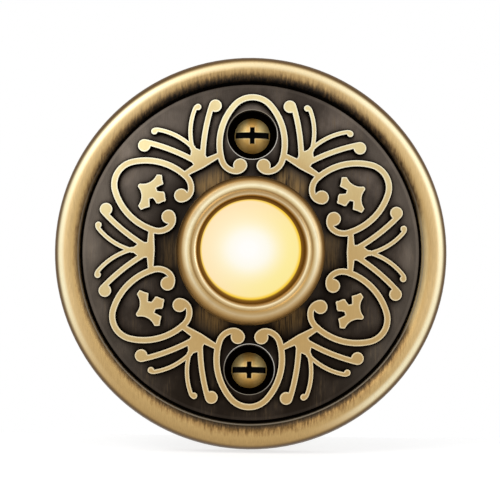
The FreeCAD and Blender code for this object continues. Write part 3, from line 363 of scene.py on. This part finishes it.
    def bead(self):
        """The rim bead: dark in streaks of patina with painted shade by the groove, a painted highlight on
        the crest, and a brown outer rim with painted shade where it turns away.
        """
        smudges = self.noise((2.6, 0.8, 0.5), 5.0, 0.7)
        across = self.math("ADD", self.radius, self.math("MULTIPLY_ADD", smudges, 3.2, -1.6))
        low_left = self.math("MULTIPLY_ADD", self.right, -0.7, self.math("MULTIPLY", self.above, -0.7))
        low_right = self.math("MULTIPLY_ADD", self.right, -0.4, self.above)
        rightmost = self.ease(self.math("MULTIPLY_ADD", self.above, -0.1, self.right), 0.93, 0.99)
        for shift in (
            self.product(self.side, self.side, self.side, 0.9),
            self.product(rightmost, 1.3),
            self.ease(low_left, 0.75, 1.0, 0.0, 0.35),
            self.ease(self.above, 0.5, 0.9, 0.0, -0.15),
            self.ease(low_right, -1.0, -0.4, -0.25, 0.0),
        ):
            across = self.math("ADD", across, shift)
        # Painted light and shade across the bead's profile over dark patina streaks, shifted round the ring
        # with the light
        bead = self.ramp(
            across,
            (27.6, rgb(16, 12, 8)),
            (28.05, rgb(52, 40, 26)),
            (28.6, rgb(104, 80, 50)),
            (29.15, rgb(164, 131, 84)),
            (29.8, rgb(192, 160, 106)),
            (30.4, rgb(190, 158, 105)),
            (COVER_RADIUS, rgb(180, 148, 97)),
        )
        # Painted light on the inner slope at the far right, which faces left
        lit_inner_slope = self.product(rightmost, self.ease(self.radius, 28.3, 29.0, 0.9, 0.0))
        bead = self.mix(lit_inner_slope, bead, rgb(252, 222, 160))

        # The painted highlight on the crest lies further out below than above
        outwards = self.ease(self.above, 0.2, 1.0, 0.42, 0.0)
        crest = self.math("SUBTRACT", self.math("SUBTRACT", self.radius, CREST_RADIUS), outwards)
        lit = self.math("MULTIPLY_ADD", self.right, 12.0, self.z)
        lit = self.math("MULTIPLY_ADD", self.side, 14.0, lit)
        # Painted highlight on the crest, and a paler painted gleam on its lit parts
        glow = self.product(
            self.ease(crest, -2.3, -0.5, 0.0, 0.62),
            self.ease(crest, 0.1, 0.8, 1.0, 0.0),
            self.ease(lit, -30.0, -4.0),
            self.ease(self.above, -0.8, -0.2, 0.15, 1.0),
            self.ease(self.above, 0.75, 1.0, 1.0, 0.35),
        )
        bead = self.mix(glow, bead, rgb(238, 208, 154))
        shine = self.product(
            self.ease(self.math("ABSOLUTE", crest), 0.1, 0.8, 1.0, 0.0),
            self.ease(lit, -30.0, -4.0, 0.0, 0.95),
            self.ease(self.above, 0.75, 1.0, 1.0, 0.55),
            self.ease(self.fine, 0.25, 0.6, 0.55, 1.0),
        )
        gleam = self.mix(self.ease(lit, -25.0, -4.0), rgb(226, 190, 128), rgb(254, 244, 206))
        bead = self.mix(shine, bead, gleam)

        # Painted shade: the bead darker towards the bottom
        bead = self.mix(self.ease(self.z, -30.0, -12.0, 0.12, 0.0), bead, rgb(156, 124, 80))
        # Painted shade on the outer rim where the bead turns away, over its brown patina
        rim = self.math("MULTIPLY_ADD", self.side, 0.3, self.math("SUBTRACT", self.radius, RIM_RADIUS))
        rim = self.math("SUBTRACT", rim, outwards)
        bead = self.mix(self.ease(rim, 0.0, 0.6), bead, rgb(104, 80, 49))
        # Painted highlight along the bead's inner edge, fading towards the top
        inner_edge_highlight = self.product(
            self.band(self.radius, GROOVE_RADIUS + 0.32, 0.06, 0.1),
            self.ease(self.above, -0.2, 0.75, 0.75, 0.0),
        )
        return self.mix(inner_edge_highlight, bead, rgb(206, 190, 164))

    def whole(self):
        """The finished material, with a painted highlight on the field's edge, painted shade in the groove
        and the cast back.
        """
        on_relief = self.on_relief()
        on_bead = self.ease(self.radius, GROOVE_RADIUS - 0.04, GROOVE_RADIUS + 0.06)
        colour = self.mix(on_relief, self.with_wells(self.field()), self.relief())
        colour = self.mix(on_bead, colour, self.bead())
        # Painted highlight along the field's outer edge
        field_edge_highlight = self.product(
            self.band(self.radius, FIELD_RADIUS - 0.25, 0.1, 0.25),
            self.ease(self.above, -0.8, 0.2, 0.05, 0.35),
            self.ease(self.above, 0.75, 1.0, 1.0, 0.2),
        )
        colour = self.mix(field_edge_highlight, colour, rgb(130, 119, 108))
        # Painted shade: the groove drawn near black
        middle = (FIELD_RADIUS + GROOVE_RADIUS) / 2
        groove = self.ease(self.above, 0.3, 0.9, middle, GROOVE_RADIUS - 0.08)
        colour = self.mix(self.band(self.radius, groove, 0.17, 0.05), colour, DEEP_SHADE)
        grain = self.ease(on_relief, 0.0, 1.0, 1.0, 0.45)
        grain = self.product(self.ease(self.fine, 0.3, 0.7, 0.0, 0.16), grain)
        colour = self.mix(grain, colour, rgb(36, 28, 18))
        cast = self.noise((1.6, 1.6, 1.6), 4.0, 0.65)
        colour = self.mix(self.behind, colour, self.mix(cast, rgb(92, 82, 66), rgb(128, 116, 96)))

        slope = self.product(on_bead, self.ease(self.radius, 28.2, 29.0, 0.6, 0.0))
        rough = self.ease(on_relief, 0.0, 1.0, 0.42, 0.3)
        rough = self.math("MAXIMUM", rough, self.product(self.behind, 0.55))
        self.set(Base_Color=colour, Metallic=self.math("SUBTRACT", 1.0, slope))
        self.set(Roughness=self.math("MULTIPLY_ADD", self.fine, 0.14, rough))
        self.bump(self.math("ADD", self.fine, self.product(self.behind, cast, 3.0)), 0.12, 0.03)
        return self.material


def wear(piece, material):
    """Puts a material on a piece in place of what it has."""
    piece.data.materials.clear()
    piece.data.materials.append(material)


def satin(name, colour, tarnish):
    """A plain satin metal with faint brushing, a little tarnish and painted shade where parts stand close."""
    paint = Paint(name)
    fine = paint.noise((9.0, 2.0, 1.5), 3.0, 0.6)
    clouds = paint.noise((0.5, 0.5, 0.5), 3.0, 0.6)
    tone = paint.mix(paint.ease(clouds, 0.35, 0.75), colour, tarnish)
    # Painted shade where other parts stand close
    tone = paint.mix(paint.ease(paint.shelter(0.8), 0.3, 0.85, 0.75, 0.0), tone, rgb(30, 24, 16))
    paint.set(Base_Color=tone, Metallic=1.0, Roughness=paint.math("MULTIPLY_ADD", fine, 0.15, 0.3))
    paint.bump(fine, 0.1, 0.02)
    return paint.material


def moulded(name, colour, other, rough=0.45):
    """A moulded plastic with a fine tooth."""
    paint = Paint(name)
    tooth = paint.noise((6.0, 6.0, 6.0), 2.0, 0.5)
    clouds = paint.noise((0.3, 0.3, 0.3), 2.0, 0.5)
    paint.set(Base_Color=paint.mix(clouds, colour, other))
    paint.set(Roughness=paint.math("MULTIPLY_ADD", tooth, 0.2, rough))
    paint.bump(tooth, 0.15, 0.02)
    return paint.material


def leaded(name, body, bands):
    """A lacquered barrel with colour bands, and bright tinned leads beyond its ends."""
    paint = Paint(name)
    tooth = paint.noise((5.0, 5.0, 5.0), 2.0, 0.5)
    colour = body
    for place, half, tone in bands:
        colour = paint.mix(paint.band(paint.x, place, half, 0.03), colour, tone)
    lead = paint.ease(paint.math("ABSOLUTE", paint.x), BARREL_HALF, BARREL_HALF + 0.02)
    paint.set(Base_Color=paint.mix(lead, colour, rgb(196, 198, 202)), Metallic=lead)
    paint.set(Roughness=paint.math("MULTIPLY_ADD", tooth, 0.15, 0.25))
    return paint.material


def ring_brass():
    """The bezel: a painted highlight on the crown, a tan hollow in painted shade and a painted highlight on
    the lip, with brown painted shade at both edges.
    """
    paint = Paint("satin_brass")
    fine = paint.noise((10.0, 2.0, 0.6), 3.0, 0.6)
    clouds = paint.noise((0.4, 0.4, 0.4), 3.0, 0.6)
    # Painted light and shade across the ring's profile, centred a little off the axis
    across = paint.length(paint.math("SUBTRACT", paint.x, 0.18), paint.math("ADD", paint.z, 0.2))
    colour = paint.ramp(
        across,
        (BORE_RADIUS, rgb(104, 72, 34)),
        (8.85, rgb(134, 100, 56)),
        (9.02, rgb(188, 156, 108)),
        (LIP_RADIUS, rgb(248, 230, 188)),
        (9.4, rgb(208, 182, 134)),
        (VALLEY_RADIUS + 0.08, rgb(146, 113, 64)),
        (10.2, rgb(210, 188, 140)),
        (10.6, rgb(250, 238, 200)),
        (10.95, rgb(216, 192, 146)),
        (11.4, rgb(138, 106, 62)),
        (BEZEL_RADIUS, rgb(80, 58, 32)),
    )
    crown = paint.ease(paint.radius, VALLEY_RADIUS, VALLEY_RADIUS + 0.3)
    # Painted shade: the crown darker towards the bottom and the lip darker towards the top
    low = paint.product(paint.ease(paint.z, -11.0, 2.0, 0.72, 0.0), crown)
    colour = paint.mix(low, colour, rgb(162, 127, 76))
    upper_lip_shade = paint.ease(crown, 0.0, 1.0, 1.0, 0.0)
    upper_lip_shade = paint.product(upper_lip_shade, paint.ease(paint.z, 0.0, 8.0, 0.0, 0.55))
    colour = paint.mix(upper_lip_shade, colour, rgb(150, 116, 72))
    colour = paint.mix(paint.ease(clouds, 0.5, 0.8, 0.0, 0.2), colour, rgb(130, 100, 62))
    # Painted shade on the wall of the bore
    wall = paint.ease(paint.radius, BORE_RADIUS - 0.02, BORE_RADIUS + 0.02, 1.0, 0.0)
    colour = paint.mix(wall, colour, rgb(84, 56, 24))
    colour = paint.mix(paint.behind, colour, rgb(176, 142, 88))
    flank = paint.ease(paint.radius, 11.0, 11.6, 0.3, 0.5)
    paint.set(Base_Color=colour, Metallic=1.0, Roughness=paint.math("MULTIPLY_ADD", fine, 0.12, flank))
    paint.bump(fine, 0.08, 0.02)
    return paint.material


def head_brass():
    """The fixing screws: golden domed heads with painted light, paler to the sides and towards the top,
    painted shade black in the slots and a painted highlight along their edges.
    """
    paint = Paint("screw_brass")
    up = paint.screw_up()
    clouds = paint.noise((0.9, 0.9, 0.9), 3.0, 0.6)
    fine = paint.noise((8.0, 2.0, 8.0), 2.0, 0.5)
    beside = paint.math("ABSOLUTE", paint.x)
    away = paint.math("ABSOLUTE", up)
    # Painted light: the heads paler towards the top and to the sides of the middle
    lit_upper = paint.ease(paint.product(up, paint.math("SIGN", paint.z)), -0.4, 0.8)
    pale = paint.mix(lit_upper, rgb(252, 204, 118), rgb(255, 226, 150))
    colour = paint.mix(paint.ease(beside, 0.3, 1.5), rgb(224, 172, 88), pale)
    colour = paint.mix(paint.ease(clouds, 0.4, 0.7, 0.0, 0.5), colour, rgb(232, 180, 92))
    # Painted highlight along the edges of the slot and the cross bar
    slot_edge_highlight = paint.math(
        "MAXIMUM",
        paint.band(away, SLOT_HALF + 0.12, 0.06, 0.08),
        paint.band(beside, CROSS_HALF + 0.12, 0.06, 0.08),
    )
    slot_edge_highlight = paint.product(slot_edge_highlight, paint.ease(away, CROSS_REACH, CROSS_REACH + 0.2, 0.4, 0.0))
    colour = paint.mix(slot_edge_highlight, colour, rgb(255, 238, 180))

    # Painted shade, black in the slot, a shorter cross bar and a diamond in the middle
    slot = paint.product(
        paint.ease(away, SLOT_HALF - 0.02, SLOT_HALF + 0.06, 1.0, 0.0),
        paint.ease(beside, HEAD_RADIUS - 0.24, HEAD_RADIUS - 0.16, 1.0, 0.0),
    )
    cross = paint.product(
        paint.ease(beside, CROSS_HALF - 0.02, CROSS_HALF + 0.06, 1.0, 0.0),
        paint.ease(away, CROSS_REACH - 0.05, CROSS_REACH + 0.03, 1.0, 0.0),
    )
    middle = paint.ease(paint.math("ADD", beside, away), 0.92, 1.02, 1.0, 0.0)
    shaded_recess = paint.math("MAXIMUM", middle, paint.math("MAXIMUM", slot, cross))
    shaded_recess = paint.product(shaded_recess, paint.ease(paint.depth, HEAD_SEAT, HEAD_SEAT + 0.1))
    colour = paint.mix(shaded_recess, colour, rgb(8, 6, 4))
    paint.set(Base_Color=colour, Metallic=paint.ease(shaded_recess, 0.0, 1.0, 0.4, 0.0))
    paint.set(Specular_IOR_Level=paint.ease(shaded_recess, 0.0, 1.0, 0.5, 0.04))
    paint.set(Roughness=paint.math("MULTIPLY_ADD", fine, 0.1, 0.46))
    return paint.material


def lit_lens():
    """Milky lens lit from behind: white over the lamp, cream around it and gold at its edge, with painted
    light on the skirt beyond.
    """
    paint = Paint("lens")
    off_axis = paint.length(paint.math("ADD", paint.x, 0.35), paint.math("MULTIPLY_ADD", paint.z, 1.12, 0.1))
    side = paint.ease(paint.math("MULTIPLY_ADD", paint.z, -0.5, paint.x), -8.0, 8.0)
    other_side = paint.math("SUBTRACT", 1.0, side)
    glow = paint.ramp(
        off_axis,
        (1.2, rgb(255, 254, 252)),
        (3.0, rgb(254, 251, 238)),
        (4.8, rgb(254, 245, 212)),
        (6.8, rgb(254, 236, 188)),
        (LENS_RADIUS, rgb(254, 226, 174)),
    )
    warm = paint.ease(off_axis, 3.0, 7.0)
    glow = paint.mix(paint.product(warm, side, 0.8), glow, rgb(252, 236, 146))
    glow = paint.mix(paint.product(warm, other_side, 0.5), glow, rgb(254, 228, 186))
    edge = paint.ease(side, 0.0, 0.7, 7.78, 7.5)
    rim = paint.product(paint.ease(paint.radius, edge, 8.0), paint.ease(side, 0.1, 0.7, 0.8, 1.0))
    glow = paint.mix(rim, glow, rgb(250, 206, 64))
    # Painted light and shade of the gap round the lens: its skirt glows dim brown, darker outwards
    skirt = paint.ease(paint.radius, LENS_RADIUS - 0.1, LENS_RADIUS + 0.05)
    shade = paint.mix(paint.ease(paint.radius, LENS_RADIUS, 8.6), rgb(128, 88, 28), rgb(94, 60, 18))
    glow = paint.mix(skirt, glow, shade)
    base = paint.mix(skirt, rgb(54, 44, 22), rgb(60, 38, 12))
    paint.set(Base_Color=base, Roughness=0.5, Specular_IOR_Level=0.25)
    paint.set(Emission_Color=glow, Emission_Strength=0.96)
    return paint.material


def thread(shape, up):
    """Adds the thread behind the wall of the screw whose middle is at that height."""
    rows = round(THREAD_LENGTH / THREAD_PITCH * ROWS_PER_TURN)
    rings = []
    for row in range(rows):
        along = THREAD_LENGTH * row / rows
        envelope = THREAD_RADIUS * min(1.0, (THREAD_LENGTH - along) / THREAD_POINT)
        cut = THREAD_DEPTH * min(1.0, along / THREAD_RUN_IN)
        ring = []
        for step in range(POINTS_AROUND):
            angle = 2 * math.pi * step / POINTS_AROUND
            phase = (along / THREAD_PITCH - step / POINTS_AROUND) % 1.0
            radius = envelope * (1 - cut * min(1.0, THREAD_FLANKS * min(phase, 1 - phase)))
            place = (radius * math.cos(angle), along, up + radius * math.sin(angle))
            ring.append(shape.verts.new([value * MM for value in place]))
        rings.append(ring)
    tip = shape.verts.new((0.0, THREAD_LENGTH * MM, up * MM))
    for low, high in zip(rings, rings[1:]):
        for step in range(POINTS_AROUND):
            after = (step + 1) % POINTS_AROUND
            shape.faces.new((low[step], low[after], high[after], high[step]))
    for step in range(POINTS_AROUND):
        shape.faces.new((rings[-1][step], rings[-1][(step + 1) % POINTS_AROUND], tip))


def threaded_screws():
    """The fixing screws with their thread on the length behind the wall."""
    shape = bmesh.new()
    shape.from_mesh(nodes["mounting_screws"].data)
    bmesh.ops.remove_doubles(shape, verts=shape.verts, dist=1e-7)
    behind = [face for face in shape.faces if face.calc_center_median().y > 0.05 * MM]
    bmesh.ops.delete(shape, geom=behind, context="FACES")
    for up in (SCREW_PITCH, -SCREW_PITCH):
        thread(shape, up)
    bmesh.ops.recalc_face_normals(shape, faces=shape.faces)
    for face in shape.faces:
        face.smooth = True
    for edge in shape.edges:
        edge.smooth = edge.calc_face_angle(0.0) < math.radians(SHARP_DEGREES)
    mesh = bpy.data.meshes.new("threaded_screws")
    shape.to_mesh(mesh)
    shape.free()
    piece = bpy.data.objects.new("threaded_screws", mesh)
    bpy.context.scene.collection.objects.link(piece)
    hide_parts("mounting_screws")
    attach(piece, "switch")
    return piece


def seen_level(tree, hidden, seen):
    """One level for rays that show the surroundings, as such or in metal and glass, and one for the rest."""
    rays = tree.nodes.new("ShaderNodeLightPath")
    total = rays.outputs["Is Camera Ray"]
    for kind in ("Is Glossy Ray", "Is Transmission Ray"):
        either = tree.nodes.new("ShaderNodeMath")
        either.operation = "MAXIMUM"
        tree.links.new(total, either.inputs[0])
        tree.links.new(rays.outputs[kind], either.inputs[1])
        total = either.outputs[0]
    level = tree.nodes.new("ShaderNodeMapRange")
    level.inputs["To Min"].default_value = hidden
    level.inputs["To Max"].default_value = seen
    tree.links.new(total, level.inputs["Value"])
    return level.outputs[0]


def studio():
    """Pale floor, white surroundings and soft lamps."""
    world = bpy.data.worlds.new("surroundings")
    bpy.context.scene.world = world
    world.use_nodes = True
    tree = world.node_tree
    background = tree.nodes["Background"]
    background.inputs["Color"].default_value = WHITE
    tree.links.new(seen_level(tree, *WORLD_LEVELS), background.inputs["Strength"])

    for name, place, width, power in LAMPS:
        lamp = bpy.data.lights.new(name, "AREA")
        lamp.shape = "DISK"
        lamp.size = width
        lamp.energy = power
        holder = bpy.data.objects.new(name, lamp)
        holder.location = place
        holder.rotation_euler = (-Vector(place)).to_track_quat("-Z", "Y").to_euler()
        bpy.context.scene.collection.objects.link(holder)

    slope = math.tan(math.radians(FLOOR_TILT))
    corners = [
        (across, along, along * slope - COVER_RADIUS * MM)
        for across, along in (
            (-FLOOR_HALF, FLOOR_NEAR),
            (FLOOR_HALF, FLOOR_NEAR),
            (FLOOR_HALF, FLOOR_FAR),
            (-FLOOR_HALF, FLOOR_FAR),
        )
    ]
    mesh = bpy.data.meshes.new("floor")
    mesh.from_pydata(corners, [], [(0, 1, 2, 3)])
    floor = bpy.data.objects.new("floor", mesh)
    bpy.context.scene.collection.objects.link(floor)
    paint = Paint("pale_floor")
    paint.set(Base_Color=(FLOOR_GREY, FLOOR_GREY, FLOOR_GREY, 1.0), Roughness=0.9)
    paint.set(Emission_Color=WHITE, Emission_Strength=seen_level(paint.tree, *FLOOR_LEVELS))
    wear(floor, paint.material)


def camera():
    """The photograph's view: level with the part, which leans back a little."""
    data = bpy.data.cameras.new("camera")
    data.sensor_width = SENSOR_WIDTH
    data.lens = SENSOR_WIDTH * CAMERA_DISTANCE / (PHOTO_SIZE * MM_PER_PX * MM)
    data.clip_end = CLIP_END
    holder = bpy.data.objects.new("camera", data)
    bpy.context.scene.collection.objects.link(holder)
    tip = math.radians(CAMERA_ELEVATION)
    back = Vector((0.0, -math.cos(tip), math.sin(tip)))
    turn = (-back).to_track_quat("-Z", "Y").to_matrix().to_4x4()
    turn = turn @ Matrix.Rotation(math.radians(CAMERA_ROLL), 4, "Z")
    middle = Vector((0.0, -MIDDLE_DEPTH * MM, 0.0))
    right, up = turn.col[0].xyz, turn.col[1].xyz
    half = PHOTO_SIZE / 2
    shift_x = (OUTLINE_CENTRE[0] - half) * MM_PER_PX * MM
    shift_y = (half - OUTLINE_CENTRE[1]) * MM_PER_PX * MM
    aim = middle - right * shift_x - up * shift_y
    turn.translation = aim + back * CAMERA_DISTANCE
    holder.matrix_world = turn
    bpy.context.scene.camera = holder


def dress():
    """Gives every node its material, and the fixing screws their thread."""
    brass = satin("contact_brass", rgb(206, 164, 96), rgb(170, 128, 70))
    screw_brass = head_brass()
    steel = satin("zinc_steel", rgb(196, 197, 200), rgb(160, 162, 166))
    resistor_bands = (
        (-1.15, BAND_HALF, rgb(120, 66, 30)),
        (-0.6, BAND_HALF, rgb(20, 18, 18)),
        (-0.1, BAND_HALF, rgb(170, 40, 30)),
        (0.95, BAND_HALF, rgb(196, 160, 80)),
    )
    diode_band = (1.05, 0.2, rgb(200, 200, 202))
    materials = {
        "cover": CoverPaint().whole(),
        "bezel": ring_brass(),
        "bezel_washer": steel,
        "bezel_nut": brass,
        "button_lens": lit_lens(),
        "button_plunger": moulded("white_plastic", rgb(232, 229, 218), rgb(222, 218, 204)),
        "contact_ring": brass,
        "return_spring": steel,
        "switch_base": moulded("black_plastic", rgb(34, 32, 30), rgb(44, 41, 38)),
        "terminal_strip_right": brass,
        "terminal_strip_left": brass,
        "contact_rivets": brass,
        "board_rivets": brass,
        "terminal_screws": brass,
        "terminal_washers": brass,
        "terminal_nuts": brass,
        "base_screws": steel,
        "mounting_screws": screw_brass,
        "lamp_board": moulded("board", rgb(186, 146, 86), rgb(168, 128, 70), 0.55),
        "lamp_led": moulded("led_epoxy", rgb(255, 240, 200), rgb(250, 228, 176), 0.15),
        "resistor": leaded("resistor_lacquer", rgb(204, 176, 128), resistor_bands),
        "diode": leaded("diode_case", rgb(30, 29, 29), (diode_band,)),
    }
    for node, material in materials.items():
        wear(nodes[node], material)
    wear(threaded_screws(), screw_brass)


camera()
studio()
dress()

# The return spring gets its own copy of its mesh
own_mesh(nodes["return_spring"])

bpy.context.scene.view_settings.view_transform = "Standard"
